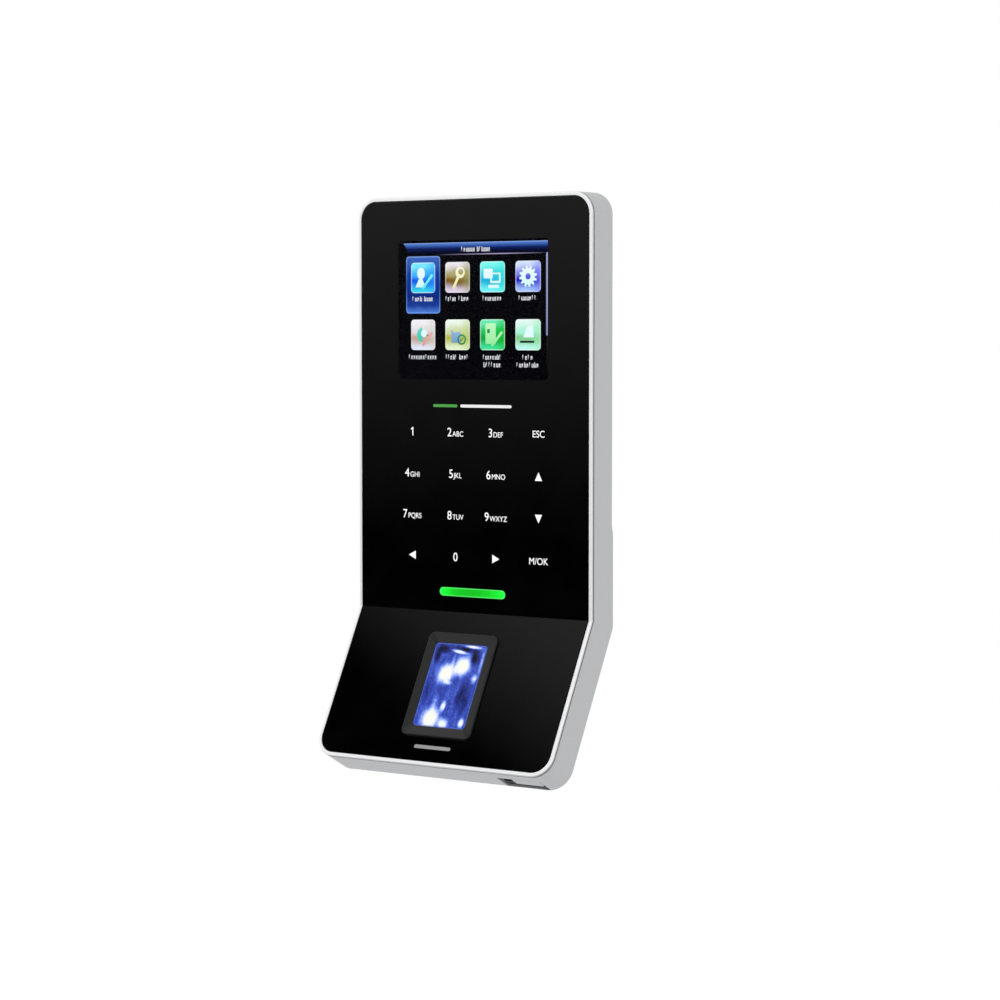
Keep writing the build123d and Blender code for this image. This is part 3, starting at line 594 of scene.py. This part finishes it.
# ---- printed legends ------------------------------------------------------------------------
INK_THICKNESS = 0.02
DIGIT_HEIGHT = 2.3
LETTER_HEIGHT = 1.4
LETTER_GAP = 0.3  # between a digit and its letters
WORD_HEIGHT = 1.8
NARROWED = 0.94  # the lettering's width, as a share of the font's own
DIM_SHARE = 0.93  # the ink's darkest grain
ARROW_SIDE = 1.15


def ink(name, code, glow):
    paint = Paint(name, {"Emission Color": rgb(code), "Emission Strength": glow, "Roughness": 0.45})
    value = paint.noise(paint.local(), 0.25)
    dim = "#" + "".join(f"{int(int(code[i : i + 2], 16) * DIM_SHARE):02x}" for i in (1, 3, 5))
    paint.feed("Base Color", paint.ramp(value, [(0.3, dim), (0.7, code)]))
    return paint.material


def text_mesh(body, height, anchor):
    """Plain capitals of a given height, with their baseline at y = 0."""
    def lettering(content):
        curve = bpy.data.curves.new(f"text {content}", "FONT")
        curve.body = content
        curve.align_x = anchor
        curve.extrude = INK_THICKNESS / 2
        return mesh_of(curve)

    tall = lettering("H")
    scale = height / max(vertex.co.y for vertex in tall.vertices)
    bpy.data.meshes.remove(tall)
    mesh = lettering(body)
    mesh.transform(Matrix.Diagonal((scale * NARROWED, scale, 1, 1)))
    return mesh


def joined(name, parts):
    whole = bmesh.new()
    for part, x, y in parts:
        part.transform(Matrix.Translation((x, y, 0)))
        whole.from_mesh(part)
    mesh = bpy.data.meshes.new(name)
    whole.to_mesh(mesh)
    whole.free()
    return mesh


def width_of(mesh):
    across = [vertex.co.x for vertex in mesh.vertices]
    return min(across), max(across)


def digit_key(name, digit, letters):
    """A number with its small letters beside it, centred as a whole."""
    figure = text_mesh(digit, DIGIT_HEIGHT, "LEFT")
    left, right = width_of(figure)
    parts = [(figure, 0.0, 0.0)]
    if digit == "1":  # the font's own is a bare stroke
        flag = [(0.1, 0.0), (0.1, -0.42), (-0.45, -0.72), (-0.45, -0.38)]
        parts.append((flat_mesh("flag", [flag], INK_THICKNESS), left, DIGIT_HEIGHT))
    if letters:
        parts.append((text_mesh(letters, LETTER_HEIGHT, "LEFT"), right + LETTER_GAP, 0.0))
    mesh = joined(name, parts)
    low, high = width_of(mesh)
    mesh.transform(Matrix.Translation((-(low + high) / 2, -DIGIT_HEIGHT / 2, 0)))
    return mesh


def word_key(name, word):
    mesh = text_mesh(word, WORD_HEIGHT, "CENTER")
    mesh.name = name
    mesh.transform(Matrix.Translation((0, -WORD_HEIGHT / 2, 0)))
    return mesh


def arrow_key(name, turn):
    """A triangle that points up, turned by so many degrees."""
    corners = [(-ARROW_SIDE, -ARROW_SIDE), (ARROW_SIDE, -ARROW_SIDE), (0.0, ARROW_SIDE)]
    mesh = flat_mesh(name, [corners], INK_THICKNESS)
    mesh.transform(Matrix.Rotation(math.radians(turn), 4, "Z"))
    return mesh


# What each key says: a digit and its letters, a word, or the turn of an arrow.
KEYS = [
    [("1", ""), ("2", "ABC"), ("3", "DEF"), "ESC"],
    [("4", "GHI"), ("5", "JKL"), ("6", "MNO"), 0],
    [("7", "PQRS"), ("8", "TUV"), ("9", "WXYZ"), 180],
    [90, ("0", ""), 270, "M/OK"],
]


def print_keypad():
    white = ink("white ink", "#f2f2f2", 0.25)
    for y, row in zip(KEY_ROWS, KEYS):
        for x, key in zip(KEY_COLUMNS, row):
            if isinstance(key, tuple):
                name = f"key_legend_{key[0]}"
                mesh = digit_key(name, *key)
            elif isinstance(key, str):
                name = "key_legend_" + key.replace("/", "_").lower()
                mesh = word_key(name, key)
            else:
                name = f"key_legend_arrow_{key}"
                mesh = arrow_key(name, key)
            mesh.materials.clear()
            mesh.materials.append(white)
            add_piece(name, mesh, spot(UPPER, x, y, PANEL_TOP + INK_THICKNESS))


def print_marks():
    """Plain dashes where a maker would print a name."""
    green = ink("green ink", "#3f9a3c", 0.1)
    pale = ink("pale ink", "#dcdcdc", 0.15)
    silver = ink("silver ink", "#8e8e90", 0.0)
    dashes = [
        ("screen_mark_green", UPPER, (-9.0, 56.7), (8.2, 0.8), green, "green_light"),
        ("screen_mark_white", UPPER, (4.6, 56.7), (17.0, 0.8), pale, "lamp"),
        ("reader_mark", LOWER, (0.0, -39.6), (12.0, 1.0), silver, "bright_rim"),
    ]
    for name, plane, (x, y), (width, height), material, slot in dashes:
        mesh = flat_mesh(name, [rounded(width, height, height / 2.01)], INK_THICKNESS)
        mesh.materials.append(material)
        add_piece(name, mesh, spot(plane, x, y, PANEL_TOP + INK_THICKNESS))


# ---- the picture on the screen --------------------------------------------------------------
SCREEN_LIGHT = {"Emission Strength": 1.0, "Specular IOR Level": 0.0, "Base Color": rgb("#000000")}


def glow(name, stops, axis="Y", span=(-1.0, 1.0), swirl=0.0):
    """Light that changes along one axis between the span's ends, with a little unevenness."""
    paint = Paint(name, SCREEN_LIGHT)
    where = paint.local()
    share = paint.remap(paint.axes(where)[axis], *span, kind="LINEAR")
    if swirl:
        wave = paint.maths("SUBTRACT", paint.noise(where, 3.0), 0.5)
        share = paint.maths("ADD", share, paint.maths("MULTIPLY", wave, swirl))
    else:
        wave = paint.maths("SUBTRACT", paint.noise(where, 0.5), 0.5)
        share = paint.maths("ADD", share, paint.maths("MULTIPLY", wave, 0.02))
    paint.feed("Emission Color", paint.ramp(share, stops))
    paint.feed("Roughness", paint.remap(paint.noise(where, 1.0), 0.3, 0.7, 0.4, 0.5))
    return paint.material


def tile_glow(name, low, middle, upper, top, side):
    """A glassy tile: a gradient upwards, tinted towards the right, and a lighter edge."""
    paint = Paint(name, SCREEN_LIGHT)
    where = paint.local()
    axes = paint.axes(where)
    wave = paint.maths("MULTIPLY", paint.maths("SUBTRACT", paint.noise(where, 4.0), 0.5), 0.25)
    height = paint.maths("ADD", paint.remap(axes["Y"], -TILE[1] / 2, TILE[1] / 2, kind="LINEAR"), wave)
    body = paint.ramp(height, [(0.05, low), (0.38, middle), (0.62, upper), (0.95, top)], True)
    body = paint.mix(paint.remap(axes["X"], 0.0, TILE[0] / 2, 0.0, 0.6), body, side)
    inset_x = paint.maths("SUBTRACT", paint.maths("ABSOLUTE", axes["X"]), TILE[0] / 2 - 0.4)
    inset_y = paint.maths("SUBTRACT", paint.maths("ABSOLUTE", axes["Y"]), TILE[1] / 2 - 0.4)
    edge = paint.remap(paint.maths("MAXIMUM", inset_x, inset_y), 0.0, 0.3, 0.0, 0.45)
    paint.feed("Emission Color", paint.mix(edge, body, "#ffffff"))
    paint.feed("Roughness", paint.remap(paint.noise(where, 1.0), 0.3, 0.7, 0.4, 0.5))
    return paint.material


def icon_glow(name, low, high):
    return glow(name, [(0.0, low), (1.0, high)], span=(-3.0, 3.0))


PEN = [bar((-0.2, -3.0), (3.2, 0.8), 0.75)]


def menu_icons():
    """What stands on each tile, as (outlines, material) layers."""
    white = icon_glow("icon white", "#d8ffff", "#f2ffff")
    cream = icon_glow("icon cream", "#f6f0b0", "#fffbe0")
    dark = icon_glow("icon dark", "#101820", "#283038")
    pale_green = icon_glow("icon pale green", "#98f0a0", "#c4ffc0")
    deep_green = icon_glow("icon deep green", "#107848", "#28a070")
    steel_blue = icon_glow("icon steel blue", "#6f98c8", "#a8c8e8")
    teal = icon_glow("icon teal", "#38c8b0", "#60e0c8")
    maroon = icon_glow("icon maroon", "#6a2840", "#a85060")
    rose = icon_glow("icon rose", "#e0a0a0", "#f0c0b8")
    aqua = icon_glow("icon aqua", "#60f0e8", "#a0ffff")
    shoulders = [[(-2.6, -2.6), (-1.5, -0.4), (-0.2, -0.4), (0.9, -2.6)]]
    head = [disc(1.3, -0.7, 1.2, 1.25)]
    key_ring = [disc(1.55, 0.9, 1.3), disc(0.85, 1.1, 1.5)]
    key_stem = [bar((-1.4, -3.0), (0.2, 0.0), 0.8)]
    back_screen = [rounded(3.0, 2.6, 0.3, -1.4, 0.9)]
    front_screen = [rounded(3.4, 2.8, 0.3, 1.0, -0.3), rounded(2.4, 1.8, 0.2, 1.0, -0.2)]
    foot = [rounded(3.6, 0.9, 0.3, 0.4, -2.6)]
    wheel = [gear(2.9, 2.2, 12), disc(0.85)]
    left_half = [(0.0, 0.0)] + [point for point in disc(2.1) if point[0] < -0.1]
    low_quarter = [(0.1, 0.0)] + [point for point in disc(2.1) if point[0] > 0.1 and point[1] < 0.1]
    hub = [disc(1.0, 0.3, 0.4)]
    lid = [[(-0.3, 2.2), (1.6, 2.6), (1.9, -0.7), (-1.6, -0.7)]]
    keyboard = [bar((-2.6, -1.9), (2.0, -1.9), 0.55)]
    sheet = [[(-2.2, 1.4), (-1.0, 0.6), (1.0, 0.9), (1.0, -2.2), (-2.0, -2.2)]]
    ring = [disc(1.45, 1.4, -1.3), disc(1.0, 1.4, -1.3)]
    tick = [[(0.8, -1.3), (1.2, -1.9), (2.1, -0.7), (1.9, -0.6), (1.2, -1.5), (1.0, -1.2)]]
    card = [rounded(3.4, 5.6, 0.3, -0.6, 0.3)]
    portrait = [rounded(0.9, 1.1, 0.2, -1.3, 1.0)]
    return [
        ("person", [(shoulders, white), (head, white), (PEN, aqua)]),
        ("key", [(key_stem, cream), (key_ring, cream)]),
        ("computers", [(back_screen, white), (front_screen, white), (foot, white)]),
        ("gear", [(wheel, white)]),
        ("wheel", [([left_half], teal), ([low_quarter], maroon), (hub, white), (PEN, rose)]),
        ("book", [(sheet, steel_blue), (ring, deep_green), (tick, deep_green)]),
        ("card", [(card, pale_green), (portrait, deep_green), (PEN, pale_green)]),
        ("laptop", [(lid, white), (keyboard, dark)]),
    ]


def menu_tiles():
    return [
        tile_glow("tile blue", "#38d8f0", "#1060f0", "#40b8ff", "#80f0ff", "#30a0ff"),
        tile_glow("tile khaki", "#e4d4ea", "#806018", "#b0a870", "#f0ecf0", "#a0a060"),
        tile_glow("tile teal", "#70f8f8", "#20b8e0", "#40d8e0", "#80fff0", "#38f0e0"),
        tile_glow("tile indigo", "#a8c8ff", "#2418c8", "#8088f0", "#d8e8ff", "#7878f8"),
        tile_glow("tile cream", "#e4ecfc", "#c8a890", "#e8e0e0", "#f8f6f8", "#dcd8cc"),
        tile_glow("tile lime", "#e8f8d0", "#b8c048", "#d4e0a8", "#f4fff0", "#c0d880"),
        tile_glow("tile green", "#40e898", "#10a840", "#20c858", "#70f0b8", "#10c828"),
        tile_glow("tile mint", "#c0fff0", "#88d090", "#b0f8d8", "#e8fff4", "#a0f0b8"),
    ]


def box(left, right, low, high):
    return [(left, low), (right, low), (right, high), (left, high)]


def greeked(words, letter_height, chance):
    """Upright strokes joined by short links, which stand for words. Words are their lengths."""
    gap, space, stroke = 0.2, 0.6, 0.2
    low_height = letter_height * 0.74
    outlines = []
    x = -(sum(words) + space * (len(words) - 1)) / 2
    for length in words:
        count = max(1, round(length / 0.82))
        pitch = length / count
        for index in range(count):
            left = x + index * pitch
            right = left + pitch - gap
            stem = letter_height if index == 0 or chance.random() < 0.25 else low_height
            outlines.append(box(left, left + stroke, 0.0, stem))
            outlines.append(box(right - stroke, right, 0.0, low_height))
            links = chance.choice([(0.0,), (low_height - stroke,), (0.0, low_height - stroke)])
            outlines += [box(left + stroke, right - stroke, link, link + stroke) for link in links]
        x += length + space
    return [moved(outline, 0.0, -letter_height / 2) for outline in outlines]


# Each tile's label: its lines, and the lengths of the words in each.
LABELS = [
    [[3.4, 3.2]], [[3.7, 3.6]], [[6.4]], [[6.0]],
    [[9.6]], [[3.9, 3.3]], [[6.2], [5.9]], [[3.6], [7.4]],
]


TITLE_HEIGHT = 1.4
LABEL_HEIGHT = 1.35
LABEL_DROP = {TILE_ROWS[0]: 5.75, TILE_ROWS[1]: 6.05}  # from a tile's centre to its first line
LINE_PITCH = 2.05


def show_picture():
    picture = spot(UPPER, *SCREEN_AT, -SCREEN_DEPTH)

    def on_screen(name, layers, x, y, level):
        """Level 0 is at the back of the picture, and each level has room for a stack of layers."""
        lift = Matrix.Translation(Vector((x, y, level * 3 * PICTURE_LAYER)) * MM)
        add_piece(name, stacked_mesh(name, layers), picture @ lift)

    title_stops = [(0.0, "#010208"), (0.25, "#070d30"), (0.5, "#0f1f5c"), (0.66, "#2c4f9c"),
                   (0.88, "#5079c6"), (0.98, "#8fb0ea")]
    title = glow("title bar light", title_stops, span=(-1.6, 1.6))
    title_shape = [(-24.2, 1.55), (24.2, 1.55), (24.2, -1.6), (-22.8, -1.6), (-23.2, 0.2)]
    on_screen("screen_title_bar", [([title_shape], title)], 0.0, 16.8, 0)
    rule_stops = [(0.0, "#08060c"), (0.35, "#9088a8"), (0.6, "#b8a8cc"), (1.0, "#1c1824")]
    rule = glow("title rule light", rule_stops, axis="X", span=(-18.0, 18.0))
    on_screen("screen_title_rule", [([rounded(36.5, 0.26, 0.1)], rule)], 5.2, 15.1, 1)
    scroll = glow("scroll bar light", [(0.0, "#8c8cc0"), (1.0, "#a4a4d4")], span=(-11.0, 11.0))
    track = glow("scroll track light", [(0.0, "#07070a"), (1.0, "#26262e")], span=(-5.0, 5.0))
    on_screen("screen_scroll_bar", [([rounded(0.72, 22.2, 0.2)], scroll)], 23.7, 4.1, 0)
    on_screen("screen_scroll_track", [([rounded(0.3, 9.6, 0.1)], track)], 23.7, -12.0, 0)
    edge_stops = [(0.0, "#6f9cea"), (0.5, "#3456a8"), (1.0, "#7f9ee0")]
    box_edge = glow("selection edge light", edge_stops, span=(-7.8, 7.8))
    box_stops = [(0.0, "#4f80d8"), (0.12, "#1c3f96"), (0.3, "#0e2a80"), (0.7, "#0e3f9e"),
                 (1.0, "#4168bc")]
    box_fill = glow("selection light", box_stops, span=(-7.6, 7.6), swirl=0.08)
    outer = rounded(11.6, 15.7, 0.95)
    inner = rounded(11.0, 15.1, 0.7)
    on_screen("screen_selection", [([outer], box_edge), ([inner], box_fill)], TILE_COLUMNS[0], 6.9, 0)
    letters = icon_glow("label light", "#e4e8ee", "#ffffff")
    chance = random.Random(7)
    title_words = greeked([4.6, 4.6], TITLE_HEIGHT, chance)
    on_screen("screen_title", [(title_words, letters)], 0.4, 16.5, 2)
    places = [(x, y) for y in TILE_ROWS for x in TILE_COLUMNS]
    for number, ((x, y), tile, (icon, layers), lines) in enumerate(
        zip(places, menu_tiles(), menu_icons(), LABELS), start=1
    ):
        on_screen(f"screen_tile_{number}", [([rounded(*TILE, 1.0)], tile)], x, y, 1)
        on_screen(f"screen_icon_{icon}", layers, x, y, 2)
        for line, words in enumerate(lines):
            drop = LABEL_DROP[y] + LINE_PITCH * line
            strokes = greeked(words, LABEL_HEIGHT, chance)
            on_screen(f"screen_label_{number}_{line + 1}", [(strokes, letters)], x, y - drop, 2)


# ---- light, floor and camera ----------------------------------------------------------------
def height_stop(degrees):
    """Where a colour ramp over the direction's height holds an elevation."""
    return 0.5 + 0.5 * math.sin(math.radians(degrees))


def make_world():
    """A white studio. What gloss reflects is softer: pale behind, and in front bands by height."""
    world = bpy.data.worlds.new("studio")
    world.use_nodes = True
    tree = world.node_tree
    background = tree.nodes["Background"]
    direction = add_node(tree, "ShaderNodeTexCoord").outputs["Generated"]
    axes = add_node(tree, "ShaderNodeSeparateXYZ", {"Vector": direction}).outputs
    up = {"Value": axes["Z"], "From Min": -1.0, "From Max": 1.0}
    height = add_node(tree, "ShaderNodeMapRange", up).outputs["Result"]
    bands = [(-90, "#505050"), (-40, "#404040"), (-25, "#606060"), (-9, "#202020"), (-4, "#000000"),
             (3.2, "#9a9a9a"), (9, "#e4e4e4"), (22, "#e8e8e8"), (32, "#202020"), (35.9, "#000000"),
             (38.6, "#a0a0a0"), (50, "#ffffff"), (64, "#909090"), (90, "#808080")]
    front = colour_ramp(tree, height, [(height_stop(angle), code) for angle, code in bands])
    back = {"Value": axes["Y"], "From Min": -0.35, "From Max": 0.1}
    behind = add_node(tree, "ShaderNodeMapRange", back, interpolation_type="SMOOTHSTEP").outputs[0]
    colours = {0: behind, 6: front, 7: rgb("#f2f2f2")}
    reflected = add_node(tree, "ShaderNodeMix", colours, data_type="RGBA").outputs[2]
    glossy = add_node(tree, "ShaderNodeLightPath").outputs["Is Glossy Ray"]
    colours = {0: glossy, 6: rgb("#ffffff"), 7: reflected}
    seen = add_node(tree, "ShaderNodeMix", colours, data_type="RGBA").outputs[2]
    tree.links.new(seen, background.inputs["Color"])
    world.cycles.sampling_method = "NONE"
    bpy.context.scene.world = world


def make_floor():
    """A pale floor well below the terminal, which hangs on its wall. Sizes are in metres."""
    radius, drop = 1.6, 0.28
    mesh = bpy.data.meshes.new("floor")
    shape = bmesh.new()
    bmesh.ops.create_circle(shape, cap_ends=True, segments=96, radius=radius)
    shape.to_mesh(mesh)
    shape.free()
    floor = bpy.data.objects.new("floor", mesh)
    bpy.context.scene.collection.objects.link(floor)
    floor.location = (0, 0, cad_box[0].z - drop)
    floor.visible_glossy = False
    paint = Paint("pale floor", {"Emission Color": rgb("#ffffff"), "Emission Strength": 0.25})
    paint.grain(paint.on(), 40.0, "#f4f4f4", "#fbfbfb", (0.6, 0.7))
    mesh.materials.append(paint.material)


SOFTBOX_SIZE = 0.6  # metres


def add_softbox(name, at, power):
    """A square lamp that faces the terminal and can't be seen in its gloss."""
    lamp_data = bpy.data.lights.new(name, "AREA")
    lamp_data.shape = "SQUARE"
    lamp_data.size = SOFTBOX_SIZE
    lamp_data.energy = power
    softbox = bpy.data.objects.new(name, lamp_data)
    bpy.context.scene.collection.objects.link(softbox)
    softbox.visible_glossy = False
    softbox.location = at
    middle = (cad_box[0] + cad_box[1]) / 2
    softbox.rotation_euler = (middle - Vector(at)).to_track_quat("-Z", "Y").to_euler()


def make_lights():
    add_softbox("softbox_top", (-0.2, -0.15, 0.9), 4.0)
    add_softbox("softbox_side", (0.9, 0.25, 0.3), 3.0)


def make_camera():
    camera = bpy.data.objects.new("camera", bpy.data.cameras.new("camera"))
    bpy.context.scene.collection.objects.link(camera)
    camera.data.sensor_width = 36.0
    camera.data.lens = CAMERA_LENS
    camera.data.clip_start = 0.01
    camera.data.clip_end = 20.0
    camera.location = Vector(CAMERA_AT) * MM
    camera.rotation_euler = (math.radians(90 + CAMERA_DIP), 0, math.radians(CAMERA_TURN))
    bpy.context.scene.camera = camera


# ---- put it together ------------------------------------------------------------------------
bpy.context.scene.view_settings.view_transform = "Standard"
make_camera()
make_world()
make_floor()
make_lights()
dress_nodes()
press_springs()
print_keypad()
print_marks()
show_picture()
